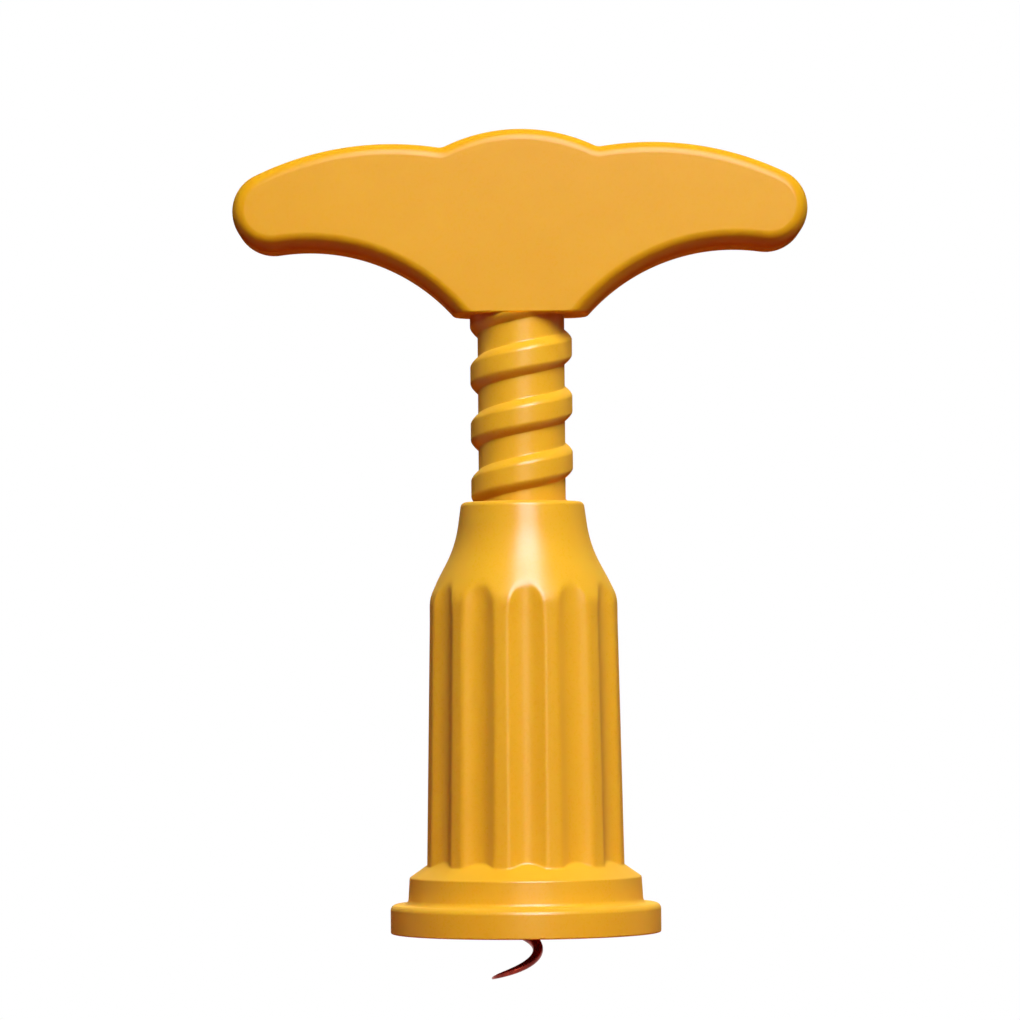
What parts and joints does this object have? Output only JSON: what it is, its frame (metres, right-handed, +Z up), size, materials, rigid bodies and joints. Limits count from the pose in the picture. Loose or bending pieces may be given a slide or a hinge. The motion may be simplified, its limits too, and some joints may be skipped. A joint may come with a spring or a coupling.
{
  "type": "bell corkscrew",
  "caption": "Moulded bell corkscrew: turning the winged handle drives a coarse threaded stem and its steel worm down through the fluted bell that stands on the bottle, then lifts the cork.",
  "frame": {"origin": "centre of the bell's base rim, on the plane that it stands on", "axes": "+Z up the stem's axis, +X along the handle to the right as seen from the front, front face of the handle towards -Y"},
  "size_m": [0.106, 0.05, 0.1568],
  "materials": {
    "moulded_plastic": "glossy moulded, orange-yellow",
    "bell_plastic": "glossy moulded, a little yellower than the handle",
    "acetal": "moulded, natural white",
    "worm_steel": "drawn wire, dark red-brown, oiled",
    "bright_steel": "zinc plated"
  },
  "bodies": {
    "bell": {"barrel": "bell_plastic", "thread_bush": "acetal"},
    "guide": {"guide_ring": "acetal"},
    "spindle": {"stem": "bell_plastic", "ring_clip": "bright_steel", "worm": "worm_steel", "handle_front": "moulded_plastic", "handle_rear": "moulded_plastic", "stem_pin": "bright_steel", "handle_screws": "bright_steel"}
  },
  "joints": [
    {"name": "stem_travel", "type": "slide", "parent": "bell", "child": "guide", "axis": [0, 0, -1], "range_m": [-0.0106, 0.0343]},
    {"name": "handle_turn", "type": "hinge", "parent": "guide", "child": "spindle", "pos_m": [0, 0, 0.048], "axis": [0, 0, -1], "range_deg": [-360, 1172]}
  ],
  "couplings": [
    {"joint": "stem_travel", "follows": "handle_turn", "m_per_rad": 0.0016711}
  ]
}
